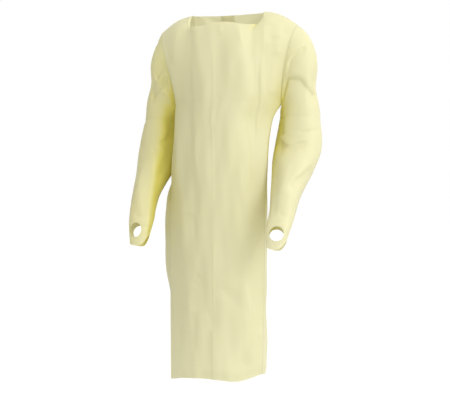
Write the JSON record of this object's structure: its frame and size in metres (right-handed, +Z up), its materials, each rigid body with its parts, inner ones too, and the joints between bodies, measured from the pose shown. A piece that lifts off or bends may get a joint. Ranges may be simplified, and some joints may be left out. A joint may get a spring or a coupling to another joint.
{
  "type": "isolation gown",
  "caption": "Thin coated isolation gown pulled on over the head, in its worn shape with no wearer: wide neck, overlapped back, long set-in sleeves with thumb-hole cuffs",
  "frame": {"origin": "middle of the neck opening, level with the two points where the shoulder seams meet the neckline", "axes": "+Z up, the front of the gown faces -Y, +X is the wearer's left"},
  "size_m": [0.6109, 0.3375, 1.1865],
  "materials": {
    "front_panel": "thin coated nonwoven, soft sheen",
    "back_panel_left": "thin coated nonwoven, soft sheen",
    "back_panel_right": "thin coated nonwoven, soft sheen",
    "sleeve_left": "thin coated nonwoven, soft sheen",
    "sleeve_right": "thin coated nonwoven, soft sheen"
  },
  "bodies": {
    "root": {"front_panel": "front_panel", "back_panel_left": "back_panel_left", "back_panel_right": "back_panel_right", "sleeve_left": "sleeve_left", "sleeve_right": "sleeve_right"}
  },
  "joints": []
}
